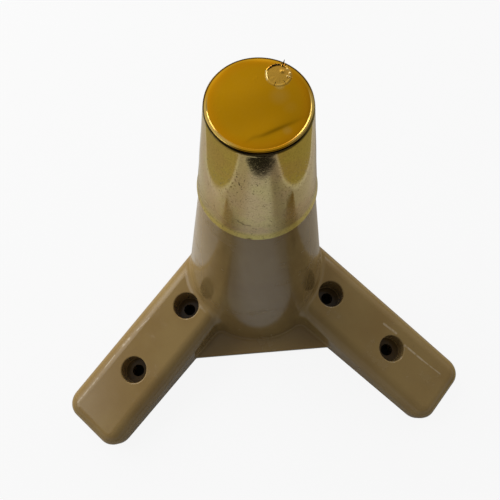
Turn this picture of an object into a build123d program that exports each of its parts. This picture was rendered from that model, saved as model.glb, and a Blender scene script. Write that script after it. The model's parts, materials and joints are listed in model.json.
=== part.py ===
from build123d import *

import os
from math import cos, hypot, radians, sin, tan

# Corner furniture leg: one plastic moulding with a brass ferrule pressed over its foot.
# Two arms screw up against the corner of a frame, and the tapered leg carries it.
# Frame: origin on the leg's axis in the mounting face, +Z towards the foot, and the
# corner between the arms opens towards -Y. The part stands on its mounting face, foot up.

# Tapered leg
leg_height = 121.3        # mounting face to the end of the moulded foot
base_radius = 29.7        # at the mounting face
mouth_radius = 14.1       # where the ferrule's mouth lies
foot_radius = 9.35        # end of the foot, inside the ferrule
leg_wall = 4.0            # wall round the hollow core
foot_wall = 12.0          # solid end beyond the core

# Arms
arm_spread = 89.0         # angle between the two arms, in degrees
arm_offset = 9.7          # leg axis to the arm's centreline, outwards
arm_width = 28.0          # at the mounting face
root_height = 25.5        # top of the arm, carried back to the leg's axis
end_height = 8.1          # top of the arm at its end, before rounding
arm_draft = 2.5           # lean of the side walls, in degrees
arm_corner = 6.5          # rounding of the end, seen from above
arm_edge = 5.5            # rounding of the top edges
arm_wall = 2.8            # side walls and top over the hollow underside

# Screw seats, along the arm
seat_clear = 1.3          # leg's base circle to the middle of the inner seat
seat_spacing = 31.5       # inner seat to outer seat
seat_to_end = 28.5        # outer seat to the arm's end
seat_radius = 5.0         # counterbore for the screw's head
hole_radius = 2.3         # clearance hole for the screw
inner_floor = 9.4         # height of the inner seat's floor
outer_floor = 6.4         # height of the outer seat's floor
seat_wall = 2.6           # wall of the boss round each seat
seat_edge = 0.4           # rounding of each counterbore's rim

# Web between the arms, and ribs on the underside
web_height = 4.0          # thickness of the web
web_reach = 4.8           # leg's base circle to the web's straight front edge
web_edge = 0.5            # rounding of the web's front edge
rib = 2.6                 # thickness of every rib
core_ribs = 3             # ribs that cross the core through its axis

# Ferrule
ferrule_length = 31.05    # mouth to the top of the rim
sheet = 0.5               # thickness of the brass
rim_rise = 0.2            # rim above the flat end face
rim_width = 0.65          # skirt to the flat end face
rim_round = 0.15          # rounding of the rim into the skirt
rim_inner_round = 0.15    # rounding of the rim towards the end face
lip_height = 0.7          # turned lip at the mouth
lip_step = 0.18           # lip proud of the skirt
press_gap = 0.02          # skirt to leg

# Ring of torn brass on the end face
burr_bearing = 54.0       # direction from the leg's axis, in degrees from +X towards +Y
burr_inset = 2.9          # outside of the rim to the ring's middle
burr_radius = 2.05        # to the crest of the ridge
burr_ridge = 0.3          # radius of the ridge itself
sliver_bearing = 62.0     # direction of the tallest sliver from the ring's middle, in degrees
sliver_length = 1.5       # from its root to its tip
sliver_sunk = 0.15        # its root, below the end face
sliver_lean = 45.0        # lean outwards from upright, in degrees
sliver_root = 0.18        # radius where it leaves the ridge
sliver_tip = 0.04         # radius at its tip

# Rounding where surfaces meet
leg_blend = 4.0           # leg into the arms
web_blend = 1.2           # web into the leg and the arms

# How closely an edge must lie to a surface to be taken as part of it
touching = 0.001

# Worked out from the sizes above
inner_seat = base_radius + seat_clear
outer_seat = inner_seat + seat_spacing
seats = [(inner_seat, inner_floor), (outer_seat, outer_floor)]
arm_length = outer_seat + seat_to_end
web_front = base_radius + web_reach
half_spread = arm_spread / 2
end_face = leg_height + sheet
rim_top = end_face + rim_rise
mouth_height = rim_top - ferrule_length
core_end = leg_height - foot_wall
taper = (base_radius - mouth_radius) / mouth_height
foot_taper = (mouth_radius - foot_radius) / (leg_height - mouth_height)


def leg_radius(height):
    """Radius of the moulded leg at a height above the mounting face."""
    if height <= mouth_height:
        return base_radius - taper * height
    return mouth_radius - foot_taper * (height - mouth_height)


def turned(profile):
    """Solid turned about the leg's axis from (radius, height) points, its seam at the back."""
    outline = Polyline(*[(0, radius, height) for radius, height in profile], close=True)
    return revolve(make_face(outline), Axis.Z)


def leg_form(wall, end):
    """Tapered leg drawn in by a wall, from the mounting face up to an end height."""
    return turned(
        [
            (0, 0),
            (base_radius - wall, 0),
            (mouth_radius - wall, mouth_height),
            (leg_radius(end) - wall, end),
            (0, end),
        ]
    )


def on_both_arms(shape):
    """A shape drawn along +X, set on the right-hand arm and mirrored to the left."""
    right = Rotation(0, 0, half_spread - 90) * shape
    return [right, mirror(right, about=Plane.YZ)]


def arm_form(wall):
    """Arm along +X drawn in by a wall: drafted sides, sloping top, rounded end and edges."""
    length = arm_length - wall
    base = Pos(length / 2, arm_offset) * Rectangle(length, arm_width - 2 * wall)
    bar = extrude(base, amount=root_height, taper=arm_draft)
    fall = root_height - end_height
    slope = Plane((0, 0, root_height - wall), x_dir=(arm_length, 0, -fall), z_dir=(fall, 0, arm_length))
    bar = split(bar, bisect_by=slope, keep=Keep.BOTTOM)
    corners = (bar.edges() - bar.faces().sort_by(Axis.Z)[-1].edges() - bar.faces().sort_by(Axis.Z)[0].edges())
    bar = fillet(corners.group_by(Axis.X)[-1], arm_corner - wall)
    top = bar.faces().sort_by(Axis.Z)[-1]
    return fillet(top.edges().sort_by(Axis.X)[1:], arm_edge - wall)


def web_form():
    """Triangular plate that fills the corner between the arms, straight across the front."""
    reach = web_front * tan(radians(half_spread)) + arm_offset / cos(radians(half_spread))
    outline = Polyline((0, 0), (reach, -web_front), (-reach, -web_front), close=True)
    plate = extrude(make_face(outline), amount=web_height)
    front = plate.edges().filter_by(Axis.X).sort_by(Axis.Z)[-1]
    return fillet(front, web_edge)


def on_leg_surface(edge):
    """True where an edge lies on the taper of the leg, above the mounting face."""
    points = [edge.position_at(share) for share in (0, 0.5, 1)]
    off = [abs(Vector(p.X, p.Y).length - leg_radius(p.Z)) for p in points]
    return max(off) < touching and touching < edge.bounding_box().max.Z < mouth_height - touching


def on_web_top(edge):
    """True where an edge lies in the web's top, behind its front edge."""
    box = edge.bounding_box()
    level = abs(box.min.Z - web_height) + abs(box.max.Z - web_height) < touching
    return level and box.size.Y > touching


def outside():
    """Outer form of the moulding, with its surfaces blended where they meet."""
    body = leg_form(0, leg_height)
    for arm in on_both_arms(arm_form(0)):
        body += arm
    body = fillet(body.edges().filter_by(on_leg_surface), leg_blend)
    body += web_form()
    return fillet(body.edges().filter_by(on_web_top), web_blend)


def post(along, radius, low, high):
    """Upright cylinder between two heights, on the arm's centreline."""
    return Pos(along, arm_offset, (low + high) / 2) * Cylinder(radius, high - low)


def leg_core():
    """Hollow of the leg, divided by ribs that cross at its axis."""
    core = leg_form(leg_wall, core_end)
    plate = Pos(0, 0, core_end / 2) * Box(2 * base_radius, rib, core_end)
    for turn in range(core_ribs):
        core -= Rotation(0, 0, 90 + turn * 180 / core_ribs) * plate
    return core


def arm_hollow():
    """Hollow underside of an arm beyond the leg, round its bosses and its lengthwise rib."""
    hollow = arm_form(arm_wall) - leg_form(0, leg_height)
    hollow -= Pos(arm_length / 2, arm_offset, root_height / 2) * Box(arm_length, rib, root_height)
    for along in (inner_seat, outer_seat):
        hollow -= post(along, seat_radius + seat_wall, 0, root_height)
    return hollow


def screw_cuts():
    """Counterbores and clearance holes of an arm."""
    cuts = []
    for along, floor in seats:
        cuts.append(post(along, seat_radius, floor, root_height))
        cuts.append(post(along, hole_radius, 0, floor))
    return cuts


def on_seat_rim(edge):
    """True where an edge runs round the mouth of a counterbore, on either arm."""
    points = [edge.position_at(share) for share in (0, 0.5, 1)]
    for along, floor in seats:
        middle = (Rotation(0, 0, half_spread - 90) * Pos(along, arm_offset)).position
        off = [abs(hypot(abs(p.X) - middle.X, p.Y - middle.Y) - seat_radius) for p in points]
        if max(off) < touching and edge.bounding_box().min.Z > floor + touching:
            return True
    return False


def moulded_leg():
    """The plastic moulding: leg, arms and web in one piece, hollow from the mounting face."""
    body = outside() - leg_core()
    for cut in [arm_hollow(), *screw_cuts()]:
        for side in on_both_arms(cut):
            body -= side
    return fillet(body.edges().filter_by(on_seat_rim), seat_edge)


def rim_edges(cup):
    """Circles at the top of the cup's rim, the smallest first."""
    return cup.edges().filter_by(GeomType.CIRCLE).group_by(Axis.Z)[-1].sort_by(SortBy.RADIUS)


def brass_ferrule():
    """Cup of sheet brass over the foot, with a raised rim, a lip and a torn ring on its end."""
    foot = leg_radius(leg_height) + press_gap
    mouth = mouth_radius + press_gap
    above_lip = leg_radius(mouth_height + lip_height) + press_gap
    cup = turned(
        [
            (0, leg_height),
            (foot, leg_height),
            (mouth, mouth_height),
            (mouth + sheet + lip_step, mouth_height),
            (above_lip + sheet + lip_step, mouth_height + lip_height),
            (above_lip + sheet, mouth_height + lip_height),
            (foot + sheet, leg_height),
            (foot + sheet, rim_top),
            (foot + sheet - rim_width, rim_top),
            (foot + sheet - rim_width, end_face),
            (0, end_face),
        ]
    )
    cup = fillet(rim_edges(cup)[-1], rim_round)
    cup = fillet(rim_edges(cup)[0], rim_inner_round)
    middle = Rotation(0, 0, burr_bearing) * Pos(foot + sheet - burr_inset, 0, end_face)
    return cup + middle * Torus(burr_radius, burr_ridge) + torn_sliver(middle.position)


def torn_sliver(middle):
    """Sliver that leans outwards from the crest of the torn ring round a middle point."""
    root = Pos(middle) * Rotation(0, 0, sliver_bearing) * Pos(burr_radius) * Rotation(0, sliver_lean, 0)
    return root * Pos(0, 0, sliver_length / 2 - sliver_sunk) * Cone(sliver_root, sliver_tip, sliver_length)


os.makedirs("parts", exist_ok=True)
export_step(moulded_leg(), "parts/moulded_leg.step")
export_step(brass_ferrule(), "parts/brass_ferrule.step")
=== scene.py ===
"""Looks of a corner furniture leg with a brass ferrule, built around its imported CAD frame.

The moulded leg keeps its CAD mesh and gets a finish of tan plastic. The ferrule is a new
turned surface in place of its CAD node, with a dented end face, a raised rim, a chipped
lip, and a ring of torn brass that stands on the face. Shapes are worked out in
millimetres in the CAD's frame, and become metres where a mesh or a light is placed.
"""

import json
import logging
import math
from dataclasses import dataclass, field
from enum import Enum
from typing import Mapping, Optional, Sequence, Tuple, Union

import bpy
import numpy as np
from mathutils import Matrix, Vector


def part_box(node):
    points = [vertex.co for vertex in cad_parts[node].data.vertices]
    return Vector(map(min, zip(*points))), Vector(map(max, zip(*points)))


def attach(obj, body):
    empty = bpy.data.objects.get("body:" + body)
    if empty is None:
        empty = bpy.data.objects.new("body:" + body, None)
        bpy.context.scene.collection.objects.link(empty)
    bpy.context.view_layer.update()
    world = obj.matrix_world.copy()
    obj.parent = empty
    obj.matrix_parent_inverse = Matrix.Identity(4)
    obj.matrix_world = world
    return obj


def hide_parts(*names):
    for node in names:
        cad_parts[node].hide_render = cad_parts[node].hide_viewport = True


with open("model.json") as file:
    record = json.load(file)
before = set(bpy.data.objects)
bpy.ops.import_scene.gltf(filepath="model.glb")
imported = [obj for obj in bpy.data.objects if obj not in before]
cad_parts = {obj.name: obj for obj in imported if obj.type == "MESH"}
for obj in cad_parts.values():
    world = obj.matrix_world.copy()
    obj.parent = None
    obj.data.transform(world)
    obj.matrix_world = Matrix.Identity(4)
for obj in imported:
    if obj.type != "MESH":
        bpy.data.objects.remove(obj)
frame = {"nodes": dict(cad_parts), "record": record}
bpy.context.view_layer.update()

MM = 0.001
LEVEL = 1e-6  # heights closer than this, in millimetres, count as level
BODY = "root"

Colour = Tuple[float, float, float]
Point = Tuple[float, float, float]
Line = Tuple[Point, Point, float]
Span = Tuple[float, float]
Row = Tuple[float, ...]

log = logging.getLogger("corner_leg")


class Slot(Enum):
    """The record's material slots."""

    PLASTIC = "tan_plastic"
    BRASS = "worn_brass"


class Wire:
    """A shader value that Python's arithmetic can use: each operator adds a Math node."""

    def __init__(self, board: "Board", socket: bpy.types.NodeSocket) -> None:
        """Keeps the socket and the board that its nodes go on."""
        self.board = board
        self.socket = socket

    def _math(self, operation: str, *values: "Value") -> "Wire":
        """One Math node on these values, in order."""
        return self.board.node("ShaderNodeMath", {"operation": operation}, dict(enumerate(values)))

    def __add__(self, other: "Value") -> "Wire":
        """self + other."""
        return self._math("ADD", self, other)

    def __sub__(self, other: "Value") -> "Wire":
        """self - other."""
        return self._math("SUBTRACT", self, other)

    def __rsub__(self, other: "Value") -> "Wire":
        """other - self."""
        return self._math("SUBTRACT", other, self)

    def __mul__(self, other: "Value") -> "Wire":
        """self * other."""
        return self._math("MULTIPLY", self, other)

    def __pow__(self, other: "Value") -> "Wire":
        """self ** other."""
        return self._math("POWER", self, other)

    def __abs__(self) -> "Wire":
        """The size of self, without its sign."""
        return self._math("ABSOLUTE", self)

    def most(self, other: "Value") -> "Wire":
        """The larger of self and other."""
        return self._math("MAXIMUM", self, other)

    def least(self, other: "Value") -> "Wire":
        """The smaller of self and other."""
        return self._math("MINIMUM", self, other)

    __radd__ = __add__
    __rmul__ = __mul__


Value = Union[Wire, float, int, Sequence[float]]


class Board:
    """The node tree of a material or the world, with the few ways of adding to it."""

    def __init__(self, tree: bpy.types.NodeTree) -> None:
        """Clears the tree."""
        self.tree = tree
        tree.nodes.clear()

    def node(
        self,
        kind: str,
        settings: Optional[Mapping[str, object]] = None,
        inputs: Optional[Mapping[Union[str, int], Value]] = None,
        output: Union[str, int] = 0,
    ) -> Wire:
        """Adds a node of any type.

        Args:
            kind: Blender's name of the node type.
            settings: its properties, set before its sockets.
            inputs: a value or a wire for each socket, by name or number.
            output: the socket that the wire starts from.

        Returns:
            A wire from that output.
        """
        made = self.tree.nodes.new(kind)
        for name, value in (settings or {}).items():
            setattr(made, name, value)
        for name, value in (inputs or {}).items():
            if isinstance(value, Wire):
                self.tree.links.new(value.socket, made.inputs[name])
            else:
                made.inputs[name].default_value = value
        return Wire(self, made.outputs[output] if made.outputs else None)

    def ray(self, kind: str) -> Wire:
        """1 for light's rays of one kind, such as Camera, and 0 for the others."""
        return self.node("ShaderNodeLightPath", output=f"Is {kind} Ray")

    def place(self) -> Wire:
        """Object coordinates in millimetres."""
        metres = self.node("ShaderNodeTexCoord", output="Object")
        return self.node(
            "ShaderNodeVectorMath", {"operation": "SCALE"}, {0: metres, "Scale": 1 / MM}
        )

    def parts(self, vector: Wire) -> Tuple[Wire, Wire, Wire]:
        """The three parts of a vector."""
        first = self.node("ShaderNodeSeparateXYZ", inputs={0: vector})
        outputs = first.socket.node.outputs
        return first, Wire(self, outputs[1]), Wire(self, outputs[2])

    def vector(self, x: Value, y: Value, z: Value) -> Wire:
        """A vector from its three parts."""
        return self.node("ShaderNodeCombineXYZ", inputs={0: x, 1: y, 2: z})

    def noise(self, where: Wire, size: float, detail: float = 2.0, rough: float = 0.5) -> Wire:
        """Noise between 0 and 1.

        Args:
            where: the coordinates, in millimetres.
            size: how wide its lumps are, in millimetres.
            detail: how many finer layers it has.
            rough: how strong the finer layers are.

        Returns:
            A wire with the noise, about 0.5 on average.
        """
        sockets = {"Vector": where, "Scale": 1 / size, "Detail": detail, "Roughness": rough}
        return self.node("ShaderNodeTexNoise", {"noise_dimensions": "3D"}, sockets)

    def ramp(self, value: Value, low: float, high: float) -> Wire:
        """A smooth step: 0 at low, 1 at high, which may be the smaller of the two."""
        backwards = high < low
        span = {1: min(low, high), 2: max(low, high), 3: float(backwards), 4: float(not backwards)}
        return self.node(
            "ShaderNodeMapRange", {"interpolation_type": "SMOOTHSTEP"}, {0: value, **span}
        )

    def window(self, value: Value, rise: Span, fall: Span) -> Wire:
        """1 between two soft edges, each given from where it is 0 to where it is 1."""
        return self.ramp(value, *rise) * self.ramp(value, *fall)

    def mix(self, share: Value, first: Value, second: Value) -> Wire:
        """A colour between two: the first where share is 0, the second where it is 1."""
        colours = [(*c, 1.0) if isinstance(c, tuple) else c for c in (first, second)]
        return self.node(
            "ShaderNodeMix", {"data_type": "RGBA"}, {0: share, 6: colours[0], 7: colours[1]}, 2
        )

    def apart(self, first: Value, second: Value) -> Wire:
        """The distance between two points."""
        return self.node(
            "ShaderNodeVectorMath", {"operation": "DISTANCE"}, {0: first, 1: second}, "Value"
        )

    def spot(self, where: Wire, centre: Point, radius: float, edge: float) -> Wire:
        """A round soft patch: 1 within radius of the centre, 0 beyond radius plus edge."""
        return self.ramp(self.apart(where, centre), radius + edge, radius)

    def stroke(self, where: Wire, start: Point, end: Point, width: float) -> Wire:
        """A soft straight line between two points, of twice this width in millimetres.

        The nearest point of the line is start + t (end - start), with t the share
        (where - start) . (end - start) / |end - start| ** 2, kept between 0 and 1.
        """
        kind = "ShaderNodeVectorMath"
        run = Vector(end) - Vector(start)
        from_start = self.node(kind, {"operation": "SUBTRACT"}, {0: where, 1: start})
        per_run = tuple(run / run.length_squared)
        along = self.node(kind, {"operation": "DOT_PRODUCT"}, {0: from_start, 1: per_run}, "Value")
        share = along.most(0.0).least(1.0)
        nearest = self.node(kind, {"operation": "SCALE"}, {0: tuple(run), "Scale": share})
        return self.ramp(self.apart(from_start, nearest), width * 1.5, width * 0.5)

    def strokes(self, where: Wire, lines: Sequence[Line]) -> Wire:
        """Several strokes, together: 1 on any of them."""
        every = self.nothing()
        for start, end, width in lines:
            every = every.most(self.stroke(where, start, end, width))
        return every

    def nothing(self) -> Wire:
        """A wire that holds 0, for a mask to start from."""
        return self.node("ShaderNodeMath", {"operation": "ADD"}, {0: 0.0, 1: 0.0})

    def bump(self, height: Wire) -> Wire:
        """A bumped normal from a height in millimetres."""
        return self.node("ShaderNodeBump", inputs={"Height": height, "Distance": MM})

    def surface(self, **inputs: Value) -> None:
        """Ends the tree in a Principled surface; an underscore in a name stands for a space."""
        named = {name.replace("_", " "): value for name, value in inputs.items()}
        shader = self.node("ShaderNodeBsdfPrincipled", inputs=named)
        self.node("ShaderNodeOutputMaterial", inputs={"Surface": shader})


@dataclass(frozen=True)
class Blotches:
    """A pattern of soft blotches, from noise of this size in millimetres: there are none
    where it is at most start, and they are full where it is at least full."""

    size: float
    start: float
    full: float
    detail: float = 2.0
    rough: float = 0.5

    def on(self, where: Wire) -> Wire:
        """1 on the blotches and 0 between them."""
        noise = where.board.noise(where, self.size, self.detail, self.rough)
        return where.board.ramp(noise, self.start, self.full)


@dataclass(frozen=True)
class Relief:
    """Fine bumps, from noise of this size and height in millimetres."""

    size: float
    height: float
    detail: float = 1.0

    def on(self, where: Wire) -> Wire:
        """The bumps' height."""
        return where.board.noise(where, self.size, self.detail) * self.height


def mount(name: str) -> Mapping[str, object]:
    """The record's mount of that name."""
    return next(m for m in frame["record"]["mounts"] if m["name"] == name)


def screw_seats() -> Sequence[Tuple[float, float]]:
    """Middles of the four screw seats, seen from above, in millimetres."""
    pairs = [mount(name) for name in ("inner_screws", "outer_screws")]
    return [
        (sign * pair["dims"]["spacing_x_mm"] / 2, pair["pos_m"][1] / MM)
        for pair in pairs
        for sign in (-1, 1)
    ]


def new_board(name: str) -> Tuple[bpy.types.Material, Board]:
    """An empty material with nodes, and the board of its tree."""
    material = bpy.data.materials.new(name)
    material.use_nodes = True
    return material, Board(material.node_tree)


@dataclass(frozen=True)
class TanPlastic:
    """Glossy moulded plastic, a little uneven in colour, with finger marks, and pale scuffs along the arms'
    back edges that are also painted highlight streaks.
    """

    colour: Colour = (0.272, 0.184, 0.070)
    shade: Colour = (0.242, 0.156, 0.057)
    grime: Colour = (0.150, 0.100, 0.050)
    gloss: float = 0.13
    smeared: float = 0.34
    index: float = 1.5
    swirl: Blotches = Blotches(22.0, 0.35, 0.65, detail=3.0)
    smear: Blotches = Blotches(9.0, 0.52, 0.72, detail=5.0, rough=0.6)
    speck: Blotches = Blotches(0.9, 0.70, 0.76)
    speck_strength: float = 0.35
    speck_rough: float = 0.1
    ripple: Relief = Relief(7.0, 0.020)
    grain: Relief = Relief(0.55, 0.0012, detail=2.0)
    # painted shade inside the screw seats
    seat_shade: Colour = (0.090, 0.055, 0.018)
    seat_edge: float = 0.35
    # pale scuffs that are also painted highlight streaks along the arms' back edges
    scuff_and_highlight: Colour = (0.62, 0.52, 0.38)
    scuff_highlight_strength: float = 0.42
    scuff_highlight_breaks: Blotches = Blotches(1.6, 0.30, 0.60, detail=3.0)
    scuff_highlight_lines: Tuple[Row, ...] = (
        # x and y of both ends, half the width
        (-73.8, -48.0, -65.3, -39.6, 0.24),
        (-62.6, -36.0, -58.3, -31.5, 0.20),
        (-55.3, -28.5, -52.2, -25.7, 0.42),
        (-49.1, -23.0, -43.7, -18.6, 0.22),
        (48.9, -28.2, 53.4, -32.1, 0.42),
        (56.3, -37.0, 62.7, -43.1, 0.34),
        (62.7, -43.1, 69.3, -48.9, 0.20),
    )

    def material(self, seats: Sequence[Tuple[float, float, float]]) -> bpy.types.Material:
        """Builds the finish.

        Args:
            They are painted darker inside, as painted shade.
                Dirt gathers in them.

        Returns:
            The material, patterned on the object's own coordinates.
        """
        material, board = new_board("tan_plastic_moulded")
        where = board.place()
        smear, speck = self.smear.on(where), self.speck.on(where)
        body = board.mix(self.swirl.on(where), self.shade, self.colour)
        body = board.mix(speck * self.speck_strength, body, self.grime)
        x, y, _ = board.parts(where)
        flat = board.vector(x, y, 0.0)
        for across, along, radius in seats:
            # painted shade: each screw seat is coloured darker inside, where shade falls
            seat_shade_mask = board.spot(flat, (across, along, 0.0), radius - self.seat_edge, 0.3)
            body = board.mix(seat_shade_mask, body, self.seat_shade)
        # pale scuffs along the arms' back edges, partly real wear and partly painted highlight
        lines = [((x0, y0, 0.0), (x1, y1, 0.0), width) for x0, y0, x1, y1, width in self.scuff_highlight_lines]
        scuff_highlight_mask = board.strokes(flat, lines) * self.scuff_highlight_breaks.on(where)
        body = board.mix(scuff_highlight_mask * self.scuff_highlight_strength, body, self.scuff_and_highlight)
        rough = self.gloss + smear * (self.smeared - self.gloss) + speck * self.speck_rough
        normal = board.bump(self.ripple.on(where) + self.grain.on(where))
        board.surface(Base_Color=body, Roughness=rough, IOR=self.index, Normal=normal)
        return material


@dataclass(frozen=True)
class BrassMarks:
    """Where the brass is marked, in millimetres.

    A hazy spot has a centre, a radius, a soft edge and a strength of up to 1. The others are lines, each
    with its two ends and half its width: dark scratches on the skirt, and on the torn ring, seen from
    above, dark lines of painted shade and dark reflection and pale lines of painted highlight.
    """

    haze_spots: Sequence[Tuple[Point, float, float, float]]
    scratches: Sequence[Line]
    shade_lines: Sequence[Line]
    highlight_lines: Sequence[Line]


@dataclass(frozen=True)
class WornBrass:
    """Polished sheet brass: deep gold on the end face, paler, speckled and scuffed on the skirt."""

    face: Colour = (0.78, 0.375, 0.003)
    edge: Colour = (0.82, 0.35, 0.002)
    rim: Colour = (0.86, 0.42, 0.012)
    # painted highlight on the rim at the front's left and right
    rim_highlight: Colour = (0.92, 0.62, 0.15)
    # painted highlight on the torn ring's crest and beads
    ring_highlight: Colour = (0.92, 0.72, 0.30)
    skirt: Colour = (0.69, 0.59, 0.288)
    blush: Colour = (0.68, 0.54, 0.305)
    lip: Colour = (0.85, 0.745, 0.275)
    haze: Colour = (0.70, 0.48, 0.13)
    tarnish: Colour = (0.16, 0.12, 0.05)
    # dark colour of real scratches, and of painted shade and painted dark reflections
    dark_marks_and_shade: Colour = (0.055, 0.035, 0.008)
    # Heights and distances from the axis at which the finish changes
    face_from: float = 121.85
    face_reach: Span = (9.75, 9.6)
    edge_reach: Span = (6.8, 9.2)
    rim_from: float = 8.95
    # where the painted dark line round the top lies
    outline_reach: Span = (9.70, 9.79)
    shoulder_reach: Span = (9.74, 9.82)
    # above this height the slivers are painted dark, as a painted dark reflection
    sliver_from: float = 122.2
    lip_top: float = 92.9
    worn_height: Span = (105.0, 94.0)
    flecked_height: Span = (118.0, 111.0)
    # Patterns and relief
    cloud_size: float = 6.0
    fleck: Blotches = Blotches(0.42, 0.605, 0.69, rough=0.55)
    fleck_depth: float = 0.004
    dust: Blotches = Blotches(0.36, 0.44, 0.66, rough=0.7)
    thin_haze: Relief = Relief(2.2, 0.05, detail=3.0)
    peel: Relief = Relief(0.5, 0.0016, detail=2.0)
    ripple: Relief = Relief(2.4, 0.003)
    drawn: Relief = Relief(0.16, 0.0009)
    drawn_stretch: float = 0.15
    # How strongly each kind of mark covers the brass
    fleck_share: float = 0.6
    dust_share: float = 0.24
    scratch_share: float = 0.9
    ring_highlight_share: float = 0.9
    shade_line_share: float = 0.92
    outline_share: float = 0.95
    # Roughness
    mirror: float = 0.09
    rubbed: float = 0.06
    hazy: float = 0.42
    worn: float = 0.24

    def skirt_colour(
        self, board: Board, where: Wire, cloud: Wire, fleck: Wire, scratches: Sequence[Line]
    ) -> Wire:
        """Pale brass that blushes in places, yellower on the lip, with flecks, dust, scratches and a dark
        line just above the lip at the left."""
        x, _, z = board.parts(where)
        on_lip = board.ramp(z, self.lip_top + 1.3, self.lip_top - 0.8)
        skirt = board.mix(board.ramp(cloud, 0.4, 0.65), self.skirt, self.blush)
        skirt = board.mix(on_lip, skirt, self.lip)
        skirt = board.mix(fleck * self.fleck_share, skirt, self.tarnish)
        skirt = board.mix(self.dust.on(where) * self.dust_share, skirt, self.tarnish)
        below, above = (self.lip_top - 0.15, self.lip_top), (self.lip_top + 0.15, self.lip_top)
        # darker in a thin line just above the lip at the left
        lip_line = board.window(z, below, above) * board.ramp(x, -2, -6) * 0.5
        marks = board.strokes(where, scratches).most(lip_line)
        return board.mix(marks * self.scratch_share, skirt, self.dark_marks_and_shade)

    def face_colour(
        self, board: Board, where: Wire, from_axis: Wire, haze: Wire, marks: BrassMarks
    ) -> Wire:
        """Deep gold, a little redder towards the edge, with a painted highlight on the rim at the front's
        left and right, a haze, and on the torn ring pale lines of painted highlight, dark lines of painted
        shade and dark reflection along its crest and cuts, and slivers painted dark as a dark reflection."""
        x, y, z = board.parts(where)
        flat = board.vector(x, y, 0.0)
        face = board.mix(board.ramp(from_axis, *self.edge_reach), self.face, self.edge)
        face = board.mix(board.ramp(from_axis, self.rim_from, self.rim_from + 0.3), face, self.rim)
        # painted highlight on the rim, at the front's left and right
        bright = board.ramp(from_axis, self.rim_from + 0.1, self.rim_from + 0.2) * board.ramp(y, 3, -0.5)
        face = board.mix(bright * board.ramp(abs(x), 3.5, 6.5), face, self.rim_highlight)
        face = board.mix(haze, face, self.haze)
        # painted highlights on the torn ring
        face = board.mix(board.strokes(flat, marks.highlight_lines) * self.ring_highlight_share, face, self.ring_highlight)
        # painted dark reflection on the slivers above this height
        sliver = board.ramp(z, self.sliver_from, self.sliver_from + 0.15)
        # painted shade and dark reflection along the ring's lines and cuts
        shade_lines = board.strokes(flat, marks.shade_lines).most(sliver)
        return board.mix(shade_lines * self.shade_line_share, face, self.dark_marks_and_shade)

    def dark_line(self, board: Board, where: Wire, from_axis: Wire) -> Wire:
        """A painted dark reflection in a thin line round the top: outside the rim at the back, and on the
        shoulder under it in front, where it is fainter at the left."""
        x, y, z = board.parts(where)
        outside = board.ramp(from_axis + board.ramp(y, -3, 4) * 0.25, *self.outline_reach)
        outside = outside * board.ramp(y, -8, -4)
        outside = outside * board.ramp(z, self.face_from - 0.8, self.face_from - 0.5)
        rise = (self.face_from - 1.15, self.face_from - 0.80)
        fall = (self.face_from + 0.08, self.face_from - 0.02)
        shoulder = board.window(z, rise, fall) * board.ramp(y, -1, -5)
        shoulder = shoulder * board.ramp(from_axis, *self.shoulder_reach)
        shoulder = shoulder * (board.ramp(x, -7.5, -3.5) * 0.6 + 0.4)
        return outside.most(shoulder * 0.9) * self.outline_share

    def relief(self, board: Board, where: Wire, fleck: Wire) -> Wire:
        """Height of the fine relief: orange peel, shallow ripples, drawing lines that run up
        the skirt, and flecks that are sunk."""
        x, y, z = board.parts(where)
        drawn = self.drawn.on(board.vector(x, y, z * self.drawn_stretch))
        return self.peel.on(where) + self.ripple.on(where) + drawn - fleck * self.fleck_depth

    def material(self, marks: BrassMarks) -> bpy.types.Material:
        """Builds the finish.

        Args:
            marks: where the brass is hazy, scratched, burnt and bright.

        Returns:
            The material, patterned on the object's own coordinates.
        """
        material, board = new_board("worn_brass_sheet")
        where = board.place()
        x, y, z = board.parts(where)
        from_axis = (x * x + y * y) ** 0.5
        on_face = board.ramp(z, self.face_from - 0.25, self.face_from - 0.1)
        on_face = on_face.most(board.ramp(from_axis, *self.face_reach))
        cloud = board.noise(where, self.cloud_size, 3.0)
        fleck = self.fleck.on(where) * (board.ramp(z, *self.flecked_height) * 0.8 + 0.2)
        haze = self.thin_haze.on(where)
        for centre, radius, edge, share in marks.haze_spots:
            haze = haze.most(board.spot(where, centre, radius, edge) * share)
        skirt = self.skirt_colour(board, where, cloud, fleck, marks.scratches)
        face = self.face_colour(board, where, from_axis, haze, marks)
        colour = board.mix(on_face, skirt, face)
        rough_skirt = self.rubbed + fleck * 0.2 + (cloud - 0.5) * 0.06
        rough_skirt = rough_skirt + board.ramp(z, *self.worn_height) * self.worn
        rough_face = self.mirror + haze * (self.hazy - self.mirror)
        board.surface(
            # painted dark reflection in a thin line round the top
            Base_Color=board.mix(self.dark_line(board, where, from_axis), colour, self.dark_marks_and_shade),
            Metallic=1.0,
            Roughness=rough_skirt + on_face * (rough_face - rough_skirt),
            Normal=board.bump(self.relief(board, where, fleck)),
        )
        return material


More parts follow.
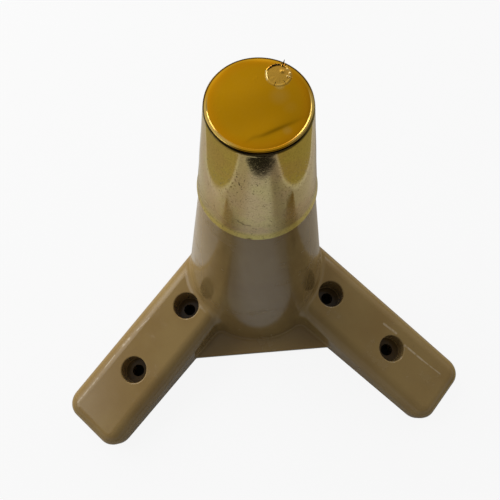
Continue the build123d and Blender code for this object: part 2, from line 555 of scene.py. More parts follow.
def rounded_profile(corners: Sequence[Row], spacing: float) -> np.ndarray:
    """Samples a profile whose corners are rounded by arcs.

    Each corner is cut back along both runs by radius * tan(turn / 2) and joined by the
    quadratic curve through the cut points with the corner as its control point, which is
    an arc to within the mesh's own spacing. Runs are sampled evenly in between.

    Args:
        corners: radius from the axis, height, and rounding at each corner, in millimetres.
        spacing: largest distance between samples on a straight run.

    Returns:
        An array of (radius, height) rows.
    """
    points = np.array([c[:2] for c in corners], float)
    rows = [points[:1]]
    last = points[0]
    share = np.linspace(0, 1, 7)[:, None]
    for before, corner, after, (_, _, rounding) in zip(points, points[1:], points[2:], corners[1:]):
        into = (corner - before) / np.linalg.norm(corner - before)
        out = (after - corner) / np.linalg.norm(after - corner)
        turn = math.acos(float(np.clip(into @ out, -1, 1)))
        cut = rounding * math.tan(turn / 2)
        start, end = corner - cut * into, corner + cut * out
        rows.append(straight(last, start, spacing))
        if cut > 0:
            rows.append(((1 - share) ** 2 * start + 2 * share * (1 - share) * corner + share**2 * end)[1:])
        last = end
    rows.append(straight(last, points[-1], spacing))
    return np.vstack(rows)


def straight(start: np.ndarray, end: np.ndarray, spacing: float) -> np.ndarray:
    """Even samples from start to end, without the first."""
    count = max(1, math.ceil(float(np.linalg.norm(end - start)) / spacing))
    return start + (end - start) * (np.arange(1, count + 1)[:, None] / count)


def bell(distance: np.ndarray, width: float) -> np.ndarray:
    """A smooth bump: exp(-(distance / width) ** 2)."""
    return np.exp(-((distance / width) ** 2))


def turn_from(angle: np.ndarray, bearing: float) -> np.ndarray:
    """Signed difference in degrees between angles in radians and a bearing in degrees."""
    return (np.degrees(angle) - bearing + 180) % 360 - 180


def ragged(angle: np.ndarray, lowest: int, highest: int, seed: int) -> np.ndarray:
    """A closed ragged line round a circle.

    The sum of cos(k * angle + phase) / sqrt(k) for every whole k from lowest to highest,
    with seeded phases, brought to a largest size of 1.

    Args:
        angle: where to work it out, in radians.
        lowest: fewest waves round the circle.
        highest: most waves round the circle.
        seed: chooses the phases.

    Returns:
        Values between -1 and 1, with the shape of angle.
    """
    orders = np.arange(lowest, highest + 1)
    phases = np.random.default_rng(seed).uniform(0, 2 * math.pi, orders.size)
    waves = np.cos(angle[..., None] * orders + phases) / np.sqrt(orders)
    total = waves.sum(axis=-1)
    return total / np.abs(total).max()


def closed_tube(points: np.ndarray, offset: int = 0) -> Tuple[np.ndarray, list]:
    """Vertices and faces of a tube whose two ends close in a point.

    Args:
        points: an array of sections by angles by 3. The first and the last section are
            each one point repeated.
        offset: number of the first vertex.

    Returns:
        The vertices, and the faces as lists of vertex numbers, pointing outwards.
    """
    sections, around = points.shape[:2]
    middle = points[1:-1].reshape(-1, 3)
    vertices = np.vstack([points[0, :1], middle, points[-1, :1]])
    ring = np.arange(around)
    after = (ring + 1) % around
    rows = 1 + around * np.arange(sections - 3)[:, None]
    quads = np.stack([rows + ring, rows + around + ring, rows + around + after, rows + after], axis=-1)
    last = 1 + around * (sections - 3)
    tip = len(vertices) - 1
    first_fan = np.stack([np.zeros_like(ring), 1 + ring, 1 + after], axis=-1)
    last_fan = np.stack([last + ring, np.full_like(ring, tip), last + after], axis=-1)
    quads = quads.reshape(-1, 4)
    faces = [first_fan, quads, last_fan]
    triangles = np.vstack([first_fan, quads[:, :3], quads[:, [0, 2, 3]], last_fan])
    a, b, c = (vertices[triangles[:, k]] for k in range(3))
    if np.einsum("ij,ij->i", a, np.cross(b, c)).sum() < 0:
        faces = [block[:, ::-1] for block in faces]
    return vertices, [row for block in faces for row in (block + offset).tolist()]


def add_piece(name: str, shells: Sequence[np.ndarray]) -> bpy.types.Object:
    """Makes one object from closed tubes.

    Args:
        name: the piece's name.
        shells: each tube's points, in millimetres, as closed_tube takes them.

    Returns:
        The object, at the origin, smooth shaded and riding on the leg's body.
    """
    vertices: list = []
    faces: list = []
    count = 0
    for shell in shells:
        more, joined = closed_tube(shell, count)
        vertices.append(more)
        faces.extend(joined)
        count += len(more)
    mesh = bpy.data.meshes.new(name)
    mesh.from_pydata((np.vstack(vertices) * MM).tolist(), [], faces)
    mesh.validate()
    mesh.shade_smooth()
    piece = bpy.data.objects.new(name, mesh)
    bpy.context.scene.collection.objects.link(piece)
    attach(piece, BODY)
    log.info("%s: %d vertices, %d faces", name, len(mesh.vertices), len(mesh.polygons))
    return piece


def dress(piece: bpy.types.Object, material: bpy.types.Material) -> None:
    """Gives every face of a piece one material."""
    piece.data.materials.clear()
    piece.data.materials.append(material)


@dataclass
class MouldedLeg:
    """The plastic moulding, which keeps its CAD mesh."""

    node: str = "moulded_leg"
    seat_radius: float = 5.0
    finish: TanPlastic = field(default_factory=TanPlastic)

    def dress(self) -> bpy.types.Object:
        """Gives the CAD node its finish.

        Returns:
            The node's object.
        """
        leg = frame["nodes"][self.node]
        leg.material_slots[0].material = self.finish.material(
            [(x, y, self.seat_radius) for x, y in screw_seats()]
        )
        log.info("%s: dressed", self.node)
        return leg


@dataclass
class FaceDents:
    """The shallow dents of the ferrule's end face, as a height over its plane."""

    dish: float = 0.05
    crease_height: float = 0.050
    crease_width: float = 0.32
    crease_middle: float = 2.3
    crease_reach: float = 4.0
    waves: float = 0.022
    pimple_height: float = 0.010
    pimple_width: float = 0.16
    pimples: Tuple[Row, ...] = (
        (-6.9, -0.97),
        (-8.0, 0.30),
        (-7.2, 1.80),
        (-7.5, -2.40),
        (8.1, 0.97),
        (8.3, 0.10),
        (0.1, 5.40),
        (-0.4, 5.00),
        (2.6, 7.90),
    )

    def crease_line(self, x: np.ndarray) -> np.ndarray:
        """The crease's y over x: a straight rise that levels out at its left end."""
        return -6.5 + 0.385 * x + 0.35 * bell(x + 1.5, 1.0)

    def height(self, x: np.ndarray, y: np.ndarray, reach: float) -> np.ndarray:
        """Height of the dented face.

        With r the distance from the middle over the reach, and c the distance across the
        crease, it is (1 - r ** 6) * (crease + pimples + waves) - dish * (1 - r ** 2). The
        crease is a step of tanh(c / crease_width) that bells fade along and across, each
        pimple is a bell, and the waves are a share of three crossing sines.

        Args:
            x: place in millimetres.
            y: place in millimetres.
            reach: radius at which the dents have faded out.

        Returns:
            Height in millimetres.
        """
        out = np.clip(np.hypot(x, y) / reach, 0, 1)
        across = y - self.crease_line(x)
        along = bell(x - self.crease_middle, self.crease_reach)
        step = self.crease_height * np.tanh(across / self.crease_width) * along * bell(across, 2.6)
        swell = np.sin(0.55 * x + 0.8) + np.sin(0.62 * y - 0.35 * x) + np.sin(0.48 * (x + y) + 2.0)
        fade = 1 - out**6
        for left, up in self.pimples:
            step = step + self.pimple_height * bell(np.hypot(x - left, y - up), self.pimple_width)
        return (step + self.waves * swell / 3) * fade - self.dish * (1 - out**2)


@dataclass
class FerruleCup:
    """The ferrule's cup: end face, rim, skirt and lip, turned about the leg's axis."""

    node: str = "brass_ferrule"
    face_mount: str = "foot_end"
    foot_radius: float = 9.87
    sheet: float = 0.5
    rim_rise: float = 0.2
    rim_width: float = 0.65
    rim_round: float = 0.22
    rim_crisp: float = 0.20
    tip_from: float = -6.0
    tip_to: float = 3.0
    shoulder_drop: float = 0.75
    shoulder_out: float = 0.12
    shoulder_in: float = 0.06
    shoulder_round: float = 1.5
    lip_step: float = 0.18
    lip_flare: float = 2.3
    flare_round: float = 6.0
    lip_round: float = 0.09
    inner_round: float = 0.1
    around: int = 420
    spacing: float = 0.16
    fine_reach: float = 2.2
    fine_spacing: float = 0.035
    rim_wobble: float = 0.06
    flats: float = 0.05
    swell: float = 0.02
    chip_bearing: float = -102.4
    chip_width: float = 2.2
    chip_height: float = 0.42
    dents: FaceDents = field(default_factory=FaceDents)
    mouth: float = field(init=False)
    lip_radius: float = field(init=False)
    face: float = field(init=False)
    rim_top: float = field(init=False)
    face_radius: float = field(init=False)

    def __post_init__(self) -> None:
        """Takes the mouth and the lip's radius from the CAD node's box, and the end face
        from the mount that lies in it."""
        low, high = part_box(self.node)
        self.mouth = low.z / MM
        self.lip_radius = high.x / MM
        self.face = mount(self.face_mount)["pos_m"][2] / MM
        self.rim_top = self.face + self.rim_rise
        self.face_radius = self.foot_radius - self.rim_width

    def profile(self) -> np.ndarray:
        """The cup's closed section, from the middle of the end, all level with the rim and
        sampled more finely near it, down the skirt, round the lip and back up the inside
        to the axis."""
        skirt_mouth = self.lip_radius - self.lip_step
        shoulder = (self.foot_radius + self.shoulder_out, self.rim_top - self.shoulder_drop)
        slope = (skirt_mouth - shoulder[0]) / (shoulder[1] - self.mouth)
        near_rim = self.foot_radius - self.fine_reach
        corners = [
            (near_rim, self.rim_top, 0.0),
            (self.foot_radius - self.shoulder_in, self.rim_top, self.rim_round),
            (*shoulder, self.shoulder_round),
            (skirt_mouth - slope * self.lip_flare, self.mouth + self.lip_flare, self.flare_round),
            (self.lip_radius, self.mouth, self.lip_round),
            (skirt_mouth - self.sheet, self.mouth, self.lip_round),
            (self.foot_radius - self.sheet, self.face - self.sheet, self.inner_round),
            (0.0, self.face - self.sheet, 0.0),
        ]
        middle = np.array([0.0, self.rim_top])
        top = np.vstack([middle, straight(middle, np.array([near_rim, self.rim_top]), self.spacing)])
        rest = rounded_profile(corners, self.spacing)
        level = rest[:, 1] > self.rim_top - LEVEL
        finer = straight(rest[0], rest[level][-1], self.fine_spacing)
        return np.vstack([top, finer, rest[~level]])

    def end_height(self, x: np.ndarray, y: np.ndarray) -> np.ndarray:
        """Height of the end, in millimetres, at places within the rim.

        With s(t) = 3 t ** 2 - 2 t ** 3 and t kept between 0 and 1, the face tips up from
        its own height in front to the rim's at the back by s across y, and the rim's
        inner slope makes up the rest by s across the radius. The dents are added.
        """
        along = np.clip((y - self.tip_from) / (self.tip_to - self.tip_from), 0, 1)
        across = np.clip((np.hypot(x, y) - self.face_radius - 0.1) / self.rim_crisp + 1, 0, 1)
        tipped = along**2 * (3 - 2 * along)
        sloped = across**2 * (3 - 2 * across)
        rise = self.rim_rise * (tipped + (1 - tipped) * sloped)
        return self.face + rise + self.dents.height(x, y, self.face_radius)

    def points(self) -> np.ndarray:
        """The cup's surface.

        Each profile point (r, z) is turned to (r cos a, r sin a, z). The end then takes
        its own height, the rim a slow fall, the skirt shallow flats in its radius, and the
        lip a chip that lifts its lower edge.

        Returns:
            Points as sections by angles by 3, in millimetres.
        """
        radius, height = self.profile().T[:, :, None]
        angle = np.linspace(0, 2 * math.pi, self.around, endpoint=False)[None, :]
        outer = (radius > 0) & (np.arange(radius.shape[0])[:, None] < self.inside_from())
        on_top = outer & (height > self.rim_top - LEVEL)
        x, y = radius * np.cos(angle), radius * np.sin(angle)
        lift = np.where(on_top, self.end_height(x, y) - self.rim_top, 0)
        on_rim = bell(radius - self.foot_radius + self.rim_width / 2, 0.6) * (height > self.face - 0.5)
        lift = lift - on_rim * self.rim_wobble * (0.5 + 0.5 * ragged(angle, 2, 7, 4))
        down = (self.face - height) / (self.face - self.mouth)
        uneven = self.flats * ragged(angle, 2, 6, 11) * np.sin(math.pi * np.clip(down, 0, 1))
        rings = np.sin(height * 0.42 + 2 * ragged(angle, 1, 3, 5))
        uneven = uneven + self.swell * rings * bell(down - 0.5, 0.45)
        radius = radius + np.where(height < self.face - 1, uneven, 0)
        chip = bell(turn_from(angle, self.chip_bearing), self.chip_width)
        low_edge = np.clip(1 - (height - self.mouth) / (self.chip_height * 1.6), 0, 1)
        lift = lift + chip * low_edge * self.chip_height
        x, y = radius * np.cos(angle), radius * np.sin(angle)
        points = np.stack(np.broadcast_arrays(x, y, height + lift), -1)
        points[0] = (0, 0, float(self.end_height(np.zeros(1), np.zeros(1))[0]))
        return points

    def inside_from(self) -> int:
        """Number of the first profile point that is on the inside of the cup."""
        return int(np.argmin(self.profile()[:, 1]))

    def build(self) -> bpy.types.Object:
        """Makes the cup in place of its CAD node."""
        cup = add_piece("ferrule_cup", [self.points()])
        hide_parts(self.node)
        return cup


@dataclass
class TornRing:
    """The ring of torn brass on the end face: a ragged ridge, a nub, cuts, slivers and beads.

    Places are in millimetres from the ring's middle, and bearings in degrees from +X.
    """

    centre: Tuple[float, float] = (4.02, 5.54)
    reach: float = 2.64
    sunk: float = 0.12
    proud: float = 0.012
    edge_from: float = 2.4
    edge_sunk: float = 0.03
    around: int = 420
    wander: float = 0.07
    raggedness: float = 0.5
    cut_width: float = 0.07
    cut_depth: float = 0.02
    scar_height: float = 0.008
    sliver_thickness: float = 0.07
    sliver_sunk: float = 0.05
    bead_rise: float = 0.06
    crest: Tuple[Row, ...] = (
        # bearing, radius, height, inner width, outer width
        (0.0, 2.05, 0.03, 0.14, 0.22),
        (35.0, 2.05, 0.04, 0.12, 0.20),
        (58.0, 2.10, 0.10, 0.14, 0.16),
        (73.0, 2.20, 0.14, 0.16, 0.13),
        (100.0, 2.26, 0.16, 0.18, 0.12),
        (135.0, 2.28, 0.13, 0.15, 0.11),
        (149.0, 2.24, 0.10, 0.12, 0.10),
        (156.0, 2.12, 0.035, 0.06, 0.06),
        (180.0, 2.12, 0.045, 0.05, 0.055),
        (200.0, 2.18, 0.035, 0.06, 0.07),
        (225.0, 2.25, 0.018, 0.14, 0.16),
        (310.0, 2.15, 0.018, 0.16, 0.18),
        (335.0, 2.15, 0.02, 0.14, 0.18),
    )
    cuts: Tuple[Row, ...] = (
        # x and y of both ends, and half the width of the dark line of painted shade along it, as for the
        # ring's other painted lines
        (-0.62, -1.49, -0.95, -2.21, 0.060),
        (0.83, -1.34, 1.11, -1.91, 0.055),
    )
    # dark lines of painted shade and painted dark reflection on the ring's crest and beside its slivers and
    # beads
    shade_lines: Tuple[Row, ...] = (
        (-1.95, 1.20, -1.80, 1.30, 0.10),
        (-1.80, 1.34, -1.38, 1.68, 0.11),
        (-1.38, 1.68, -0.84, 2.06, 0.13),
        (-0.84, 2.06, -0.30, 2.20, 0.16),
        (-0.30, 2.20, 0.30, 2.24, 0.15),
        (0.30, 2.24, 0.86, 2.36, 0.13),
        (-0.30, 2.20, -0.27, 2.56, 0.05),
        (0.95, 1.75, 1.02, 2.25, 0.10),
        (1.52, 1.85, 1.46, 2.40, 0.08),
        (1.80, 1.75, 2.10, 1.25, 0.035),
        (-1.86, -0.10, -1.80, -0.70, 0.035),
        (1.42, -0.75, 1.80, -0.95, 0.030),
    )
    # pale lines of painted highlight on the ring's crest and beads
    highlight_lines: Tuple[Row, ...] = (
        (-2.14, -0.85, -2.14, 1.10, 0.13),
        (1.58, 1.25, 1.80, 0.95, 0.13),
        (1.98, 0.00, 2.04, 0.32, 0.17),
        (1.45, -0.36, 1.92, -0.64, 0.16),
    )
    slivers: Tuple[Row, ...] = (
        # bearing, lean, rise, half the width
        (63.5, 0.86, 0.76, 0.17),
        (54.5, 0.42, 0.42, 0.16),
        (47.0, 0.30, 0.28, 0.13),
        (70.0, 0.14, 0.22, 0.14),
    )
    beads: Tuple[Row, ...] = (
        # x and y, half the length, half the width, bearing
        (1.67, 1.12, 0.26, 0.11, -55.0),
        (2.00, 0.15, 0.27, 0.16, 78.0),
        (1.59, -0.44, 0.22, 0.14, 140.0),
        (1.89, -0.62, 0.18, 0.11, 50.0),
        (2.26, -0.85, 0.10, 0.05, 30.0),
        (1.35, 2.24, 0.14, 0.10, 90.0),
    )
    nub: Row = (0.70, 0.70, 0.10, 0.32)  # x, y, height, width

    def on_face(self, line: Row) -> Line:
        """A line's two ends, seen from above in the part's own place, and its width."""
        x, y = self.centre
        return (x + line[0], y + line[1], 0.0), (x + line[2], y + line[3], 0.0), line[4]

    def crest_at(self, angle: np.ndarray) -> Sequence[np.ndarray]:
        """The crest's radius, height and two widths at an angle in radians: the table's
        rows, joined by straight lines round the circle."""
        table = np.array(self.crest)
        bearing = np.degrees(angle) % 360
        return [np.interp(bearing, table[:, 0], table[:, k], period=360) for k in range(1, 5)]

    def section_heights(self, far: np.ndarray, angle: np.ndarray) -> np.ndarray:
        """Height over the face's plane at a distance from the ring's middle.

        The ridge is tall * exp(-((far - crest) / width) ** 2), with its own width inwards
        and outwards, whose crest wanders and whose height is ragged. The nub is a bell, each
        cut a narrow trench along a straight line, and the disc inside carries shallow scars.

        Args:
            far: distance from the ring's middle, in millimetres.
            angle: direction from the ring's middle, in radians.

        Returns:
            Height in millimetres.
        """
        radius, tall, inner, outer = self.crest_at(angle)
        jagged = np.clip(tall / 0.2, 0.15, 1)
        crest = radius + self.wander * jagged * ragged(angle, 5, 40, 21)
        tall = tall * (1 + self.raggedness * np.clip(jagged * 1.6, 0, 1) * ragged(angle, 9, 60, 8))
        side = far - crest
        ridge = tall * np.where(side < 0, bell(side, inner), bell(side, outer))
        x, y = far * np.cos(angle), far * np.sin(angle)
        across, along, height, width = self.nub
        nub = height * bell(np.hypot(x - across, y - along), width)
        trench = np.zeros_like(x)
        for x0, y0, x1, y1, _ in self.cuts:
            run = np.array([x1 - x0, y1 - y0])
            share = np.clip(((x - x0) * run[0] + (y - y0) * run[1]) / (run @ run), 0, 1)
            off = np.hypot(x - x0 - share * run[0], y - y0 - share * run[1])
            trench = np.maximum(trench, bell(off, self.cut_width))
        scars = self.scar_height * ragged(angle, 3, 14, 3) * bell(far - 1.3, 0.5)
        return ridge + nub + scars - self.cut_depth * trench

    def sheet_points(self, cup: FerruleCup) -> np.ndarray:
        """The ridge and disc as a closed lens: its top is section_heights over the cup's
        end, its underside is flat and lies inside the sheet, and its edge sinks."""
        far = np.concatenate([np.linspace(0, 1.4, 24), np.linspace(1.44, 2.58, 32), [self.reach]])
        angle = np.linspace(0, 2 * math.pi, self.around, endpoint=False)[None, :]
        edge = np.clip((far - self.edge_from) / (self.reach - self.edge_from), 0, 1)[:, None]
        under_far = np.linspace(self.reach, 0, 5)[1:]
        out = np.concatenate([far, under_far])[:, None]
        x = self.centre[0] + out * np.cos(angle)
        y = self.centre[1] + out * np.sin(angle)
        ground = cup.end_height(x, y)
        above = (self.section_heights(far[:, None], angle) + self.proud) * (1 - edge)
        above = above - self.edge_sunk * edge
        height = np.vstack([ground[: far.size] + above, ground[far.size :] - self.sunk])
        height[0] = height[0].mean()
        height[-1] = height[-1].mean()
        return np.stack([x, y, height], axis=-1)

    def sliver_points(
        self, plane: float, bearing: float, lean: float, rise: float, width: float
    ) -> np.ndarray:
        """A thin sliver that stands on the ridge.

        Its middle line bends outwards as lean * s ** 1.3 while it rises as rise * s, and its
        flat oval section shrinks as (1 - s) ** 0.45 towards the tip.
        """
        share = np.linspace(0, 1, 12)[:, None]
        angle = np.linspace(0, 2 * math.pi, 14, endpoint=False)[None, :]
        turned = math.radians(bearing)
        radius = float(self.crest_at(np.array([turned]))[0][0])
        out = radius - self.sliver_sunk + lean * share**1.3
        middle = np.stack(
            [
                self.centre[0] + out * math.cos(turned),
                self.centre[1] + out * math.sin(turned),
                plane - self.sliver_sunk + (rise + self.sliver_sunk) * share,
            ],
            axis=-1,
        )
        size = np.where((share == 0) | (share == 1), 0, (1 - share) ** 0.45)
        wide, thin = width * size * np.cos(angle), self.sliver_thickness * size * np.sin(angle)
        side = np.array([-math.sin(turned), math.cos(turned), 0])
        deep = np.array([math.cos(turned), math.sin(turned), 0])
        return middle + wide[..., None] * side + thin[..., None] * deep

    def bead_points(
        self, plane: float, x: float, y: float, long: float, wide: float, bearing: float
    ) -> np.ndarray:
        """A long rounded bead, turned to a bearing: by latitude u and longitude a it is
        (long cos u cos a, wide cos u sin a, 1.1 wide sin u)."""
        latitude = np.linspace(-math.pi / 2, math.pi / 2, 10)[:, None]
        angle = np.linspace(0, 2 * math.pi, 16, endpoint=False)[None, :]
        turned = math.radians(bearing)
        along = long * np.cos(latitude) * np.cos(angle)
        across = wide * np.cos(latitude) * np.sin(angle)
        along[[0, -1]] = across[[0, -1]] = 0
        place = [
            self.centre[0] + x + along * math.cos(turned) - across * math.sin(turned),
            self.centre[1] + y + along * math.sin(turned) + across * math.cos(turned),
            plane + self.bead_rise + wide * 1.1 * np.sin(latitude) + 0 * angle,
        ]
        return np.stack(place, axis=-1)

    def build(self, cup: FerruleCup) -> bpy.types.Object:
        """Makes the ring on a cup's end face.

        Args:
            cup: the cup that it was torn from.

        Returns:
            The ring's object.
        """
        plane = float(cup.end_height(*np.array(self.centre)[:, None])[0])
        shells = [self.sheet_points(cup)]
        shells += [self.sliver_points(plane, *sliver) for sliver in self.slivers]
        shells += [self.bead_points(plane, *bead) for bead in self.beads]
        ring = add_piece("torn_brass_ring", shells)
        return ring


@dataclass
class BrassFerrule:
    """The ferrule: its cup and the torn ring, in one finish."""

    cup: FerruleCup = field(default_factory=FerruleCup)
    ring: TornRing = field(default_factory=TornRing)
    finish: WornBrass = field(default_factory=WornBrass)
    marks: Tuple[Row, ...] = (
        # bearing and height of both ends, half the width
        (-117.0, 98.4, -112.0, 98.2, 0.09),
        (-114.0, 97.9, -108.0, 97.4, 0.13),
        (-109.0, 97.1, -101.5, 97.1, 0.11),
        (-116.5, 114.2, -116.0, 114.0, 0.15),
        (-113.5, 112.2, -113.0, 111.7, 0.15),
        (-111.0, 110.6, -110.6, 110.5, 0.14),
        (-100.0, 109.7, -99.2, 109.5, 0.13),
        (-89.0, 105.0, -88.5, 104.9, 0.13),
        (-108.0, 103.7, -107.5, 103.6, 0.11),
    )
    ring_haze: Row = (2.2, 0.5, 0.42)  # radius, soft edge, strength
    hazy: Tuple[Row, ...] = (
        # x and y on the end face, radius, soft edge, strength
        (4.0, 3.3, 0.4, 0.9, 0.60),
        (5.2, 3.9, 0.2, 0.7, 0.50),
        (3.8, 1.2, 0.1, 2.7, 0.22),
        (5.4, -1.2, 0.1, 2.2, 0.10),
        (4.4, -5.8, 0.1, 1.2, 0.25),
    )

    def on_skirt(self, mark: Row) -> Line:
        """A mark's two ends as points of the skirt, from its bearings and heights."""
        ends = []
        for bearing, height in (mark[:2], mark[2:4]):
            share = (height - self.cup.mouth) / (self.cup.face - self.cup.mouth)
            mouth = self.cup.lip_radius - self.cup.lip_step
            out = mouth + (self.cup.foot_radius + self.cup.shoulder_out - mouth) * share
            turn = math.radians(bearing)
            ends.append((out * math.cos(turn), out * math.sin(turn), height))
        return ends[0], ends[1], mark[4]

    def build(self) -> None:
        """Makes and dresses both pieces."""
        spots = [(*self.ring.centre, *self.ring_haze), *self.hazy]
        marks = BrassMarks(
            haze_spots=[((x, y, self.cup.face), *soft) for x, y, *soft in spots],
            scratches=[self.on_skirt(mark) for mark in self.marks],
            shade_lines=[self.ring.on_face(line) for line in self.ring.shade_lines + self.ring.cuts],
            highlight_lines=[self.ring.on_face(line) for line in self.ring.highlight_lines],
        )
        brass = self.finish.material(marks)
        for piece in (self.cup.build(), self.ring.build(self.cup)):
            dress(piece, brass)


@dataclass(frozen=True)
class CurvedEdge:
    """A soft curved edge on the mirrored floor, where value + bend * across ** 2 goes from
    start to full."""

    bend: float
    start: float
    full: float

    def past(self, value: Wire, across: Wire) -> Wire:
        """0 on the near side of the edge and 1 on the far side."""
        return value.board.ramp(value + across * across * self.bend, self.start, self.full)


@dataclass(frozen=True)
class SoftLamp:
    """A soft rectangular light that faces the object.

    Its bearing is in degrees from +X towards +Y, its elevation in degrees above the floor,
    and its distance from the object's middle, its width and its height are in metres.
    Where it isn't mirrored, it lights the object but has no image in shiny surfaces.
    """

    name: str
    bearing: float
    elevation: float
    away: float
    size: Tuple[float, float]
    watts: float
    mirrored: bool

    def build(self, middle: Vector) -> None:
        """Adds the light, facing the object's middle."""
        light = bpy.data.lights.new(self.name, "AREA")
        light.shape = "RECTANGLE"
        light.size, light.size_y = self.size
        light.energy = self.watts
        lamp = bpy.data.objects.new(self.name, light)
        lamp.visible_glossy = self.mirrored
        bpy.context.scene.collection.objects.link(lamp)
        turn, rise = math.radians(self.bearing), math.radians(self.elevation)
        out = Vector((math.cos(turn) * math.cos(rise), math.sin(turn) * math.cos(rise), math.sin(rise)))
        lamp.location = middle + out * self.away
        lamp.rotation_euler = out.to_track_quat("Z", "Y").to_euler()


@dataclass
class Studio:
    """A white floor, soft lights, and the dim surroundings that the metal reflects."""

    floor_size: float = 6.0
    floor_drop: float = 0.05
    floor_colour: Colour = (0.48, 0.48, 0.48)
    white: Colour = (1.0, 1.0, 1.0)
    glow: float = 0.90
    glint: float = 0.05
    table: Colour = (0.38, 0.31, 0.12)
    table_right: Colour = (0.31, 0.25, 0.08)
    sheet: Colour = (0.54, 0.53, 0.50)
    sheet_side: Colour = (0.45, 0.395, 0.31)
    sheet_shade: Colour = (0.31, 0.27, 0.21)
    dark: Colour = (0.02, 0.018, 0.015)
    room: Colour = (0.42, 0.38, 0.30)
    # Edges of the mirrored sheet, and of the dark patch in front, in millimetres
    right_edge: CurvedEdge = CurvedEdge(bend=0.0018, start=89, full=98)
    right_middle: float = 10.0
    left_edge: CurvedEdge = CurvedEdge(bend=0.00068, start=86, full=96)
    back_edge: Span = (98.0, 138.0)
    front_edge: CurvedEdge = CurvedEdge(bend=-0.004, start=-142, full=-143.5)
    patch_start: CurvedEdge = CurvedEdge(bend=-0.0022, start=-124.3, full=-126.0)
    patch_end: CurvedEdge = CurvedEdge(bend=-0.0065, start=-144, full=-142)
    patch_sides: Span = (70.0, 66.0)
    gap_sides: Span = (120.0, 180.0)
    room_from: Span = (240.0, 420.0)
    # Where the mirrored sheet's colour changes from its middle to its darker, warmer sides, painted shade
    # on the floor that reflections see
    side_from: Span = (25.0, 60.0)
    shade_from: Span = (22.0, 44.0)
    shade_to: Span = (76.0, 54.0)
    # Radius of the painted shade on the floor under a screw hole, and the lamps' aim in metres
    dark_radius: float = 4.2
    middle: Point = (0.0, -0.02, 0.05)
    # Strengths of the light from each side
    all_round: float = 0.065
    from_behind: float = 0.20
    from_low_behind: float = 0.42
    from_low_left: float = 0.20
    from_above: float = 0.33
    # Strengths of the room as shiny surfaces see it
    dim: float = 0.03
    wall: float = 0.46
    windows: float = 0.5
    side_window: float = 1.8
    front: float = 0.30
    glare: float = 5.0
    lamps: Tuple[SoftLamp, ...] = (
        SoftLamp("window_left", 136, 26, away=0.7, size=(0.8, 0.6), watts=5.7, mirrored=False),
        SoftLamp("window_right", 48, 24, away=0.8, size=(0.4, 0.3), watts=1.35, mirrored=True),
    )

    def gap(self, board: Board, x: Wire, y: Wire) -> Wire:
        """The dark gap round the sheet: in front, with a patch that comes nearer in the
        middle, behind, and far out at both sides."""
        patch = self.patch_start.past(y, x) * self.patch_end.past(y, x)
        patch = patch * board.ramp(abs(x), *self.patch_sides)
        front = patch.most(self.front_edge.past(y, x))
        return front.most(board.ramp(y, *self.back_edge)).most(board.ramp(abs(x), *self.gap_sides))

    def holes(self, board: Board, where: Wire) -> Wire:
        """The floor right under the four screw holes, which is painted dark as painted shade."""
        hole = board.nothing()
        for across, along in screw_seats():
            hole = hole.most(board.spot(where, (across, along, 0), self.dark_radius, 0.3))
        return hole

    def floor_material(self) -> bpy.types.Material:
        """The camera sees the floor nearly white, but under the open screw holes it is painted dark, as
        painted shade.
        Reflections see a white sheet, painted darker and warmer towards its sides as painted shade, on a
        brown table, with a dark gap round it and a dim room beyond.

        Returns:
            The floor's material.
        """
        material, board = new_board("pale_floor")
        where = board.place()
        x, y, _ = board.parts(where)
        right = self.right_edge.past(x, y - self.right_middle)
        left = self.left_edge.past(0 - x, y)
        gap = self.gap(board, x, y)
        hole = self.holes(board, where)
        mirrored = board.ray("Glossy").most(board.ray("Transmission"))
        shade = board.mix(left, self.white, self.table)
        shade = board.mix(right, shade, self.table_right)
        shade = board.mix(gap, shade, self.dark)
        shade = board.mix(board.ramp((x * x + y * y) ** 0.5, *self.room_from), shade, self.room)
        shade = board.mix(mirrored, self.white, shade)
        off_sheet = right.most(left).most(gap)
        share = board.ray("Camera") * self.glow + mirrored * (self.glint + off_sheet * (1 - self.glint))
        # painted shade: the mirrored sheet is darker and warmer towards its sides
        sheet = board.mix(board.ramp(abs(x), *self.side_from), self.sheet, self.sheet_side)
        sheet = board.mix(board.window(x, self.shade_from, self.shade_to), sheet, self.sheet_shade)
        sheet = board.mix(mirrored, self.floor_colour, sheet)
        # painted shade: the floor under the screw holes is coloured dark
        matte = board.node("ShaderNodeBsdfDiffuse", inputs={"Color": board.mix(hole, sheet, self.dark)})
        glow = board.node("ShaderNodeEmission", inputs={"Color": shade, "Strength": 1.0})
        both = board.node("ShaderNodeMixShader", inputs={0: share * (1 - hole), 1: matte, 2: glow})
        board.node("ShaderNodeOutputMaterial", inputs={"Surface": both})
        return material

    def floor(self) -> None:
        """A pale square floor that keeps the object's soft shadow, just under the object."""
        half, low = self.floor_size / 2, -self.floor_drop * MM
        corners = [(-half, -half, low), (half, -half, low), (half, half, low), (-half, half, low)]
        mesh = bpy.data.meshes.new("floor")
        mesh.from_pydata(corners, [], [(0, 1, 2, 3)])
        plane = bpy.data.objects.new("floor", mesh)
        bpy.context.scene.collection.objects.link(plane)
        dress(plane, self.floor_material())

    def daylight(self, board: Board, x: Wire, y: Wire, z: Wire) -> Wire:
        """Strength of the light from a direction: brightest low behind, fair overhead and
        low at the left, and dim in front."""
        behind = board.ramp(y, -0.6, 0.9)
        low = board.ramp(z, 0.75, 0.1)
        left = board.ramp(x, 0.8, -0.8)
        top = board.ramp(z, 0.3, 0.85)
        level = self.all_round + behind * self.from_behind + low * behind * self.from_low_behind
        return level + left * low * self.from_low_left + top * self.from_above

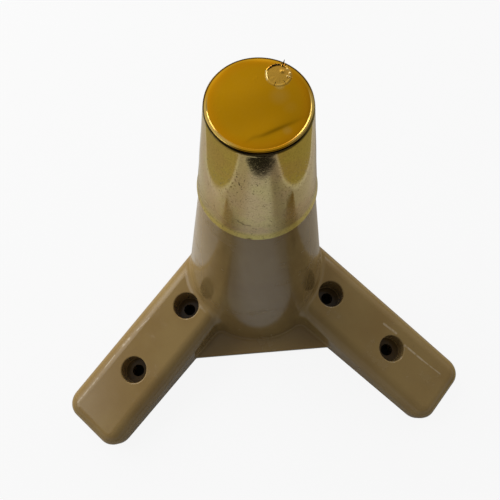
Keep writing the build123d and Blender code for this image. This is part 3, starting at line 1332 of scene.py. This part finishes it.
    def mirrored_room(self, board: Board, x: Wire, y: Wire, z: Wire) -> Wire:
        """Strength of a direction as shiny surfaces see it: a wall behind that is brighter at
        the left, with a band of windows, a bright window at the left, a small glare left of
        the middle, and a dim room low in front."""
        tilt = (1.12 - x * 1.9).most(0.5).least(1.3)
        wall = board.ramp(y, -0.12, 0.15) * (board.ramp(y, 0.1, 0.8) * 0.65 + 0.35)
        wall = wall * board.ramp(z, 0.02, 0.3) * tilt
        band = board.window(z, (0.1, 0.3), (0.78, 0.55))
        side = board.ramp(x, -0.5, -0.62) * board.ramp(y, -0.40, -0.26) * board.ramp(z, 0.4, 0.55)
        glare = board.window(x, (-0.14, -0.28), (-0.56, -0.46)) * board.ramp(y, 0.6, 0.75)
        glare = glare * board.window(z, (0.10, 0.20), (0.60, 0.45))
        front = board.ramp(y, 0.15, -0.1) * board.ramp(z, 0.6, 0.2)
        room = self.dim + wall * self.wall + wall * band * self.windows
        return room + side * self.side_window + front * self.front + glare * self.glare

    def world(self) -> None:
        """Soft light from all round that is white to the camera."""
        world = bpy.data.worlds.new("soft_room")
        bpy.context.scene.world = world
        world.use_nodes = True
        board = Board(world.node_tree)
        direction = board.node("ShaderNodeTexCoord", output="Generated")
        x, y, z = board.parts(direction)
        level = self.daylight(board, x, y, z)
        mirrored = board.ray("Glossy").most(board.ray("Transmission"))
        level = level + mirrored * (self.mirrored_room(board, x, y, z) - level)
        strength = level + board.ray("Camera") * (1.0 - level)
        glow = board.node("ShaderNodeBackground", inputs={0: (1, 1, 1, 1), 1: strength})
        board.node("ShaderNodeOutputWorld", inputs={"Surface": glow})

    def build(self) -> None:
        """Sets the whole studio."""
        self.floor()
        self.world()
        for lamp in self.lamps:
            lamp.build(Vector(self.middle))


@dataclass
class PhotoCamera:
    """The camera at the photograph's place and angle, in millimetres and degrees."""

    lens: float = 30.586
    place: Point = (-4.881, -46.689, 185.178)
    pitch: float = 72.5081
    yaw: float = 3.3881
    roll: float = 1.2591

    def build(self) -> None:
        """Adds the camera.

        It looks along a line turned by yaw from +Y towards +X and lowered by pitch, and is
        rolled about that line. Its width is the sensor's 36 mm.
        """
        data = bpy.data.cameras.new("photo_camera")
        data.lens = self.lens
        data.clip_start = 0.005
        camera = bpy.data.objects.new("photo_camera", data)
        bpy.context.scene.collection.objects.link(camera)
        pitch, yaw, roll = (math.radians(a) for a in (self.pitch, self.yaw, self.roll))
        ahead = Vector((math.sin(yaw) * math.cos(pitch), math.cos(yaw) * math.cos(pitch), -math.sin(pitch)))
        level = Vector((math.cos(yaw), -math.sin(yaw), 0))
        down = ahead.cross(level)
        right = level * math.cos(roll) + down * math.sin(roll)
        below = down * math.cos(roll) - level * math.sin(roll)
        turn = Matrix((right, -below, -ahead)).transposed()
        camera.matrix_world = Matrix.Translation(Vector(self.place) * MM) @ turn.to_4x4()
        bpy.context.scene.camera = camera


def main() -> None:
    """Builds the object and its studio, in order."""
    logging.basicConfig(level=logging.INFO)
    bpy.context.scene.view_settings.view_transform = "Standard"
    MouldedLeg().dress()
    BrassFerrule().build()
    Studio().build()
    PhotoCamera().build()


if __name__ == "__main__":
    main()
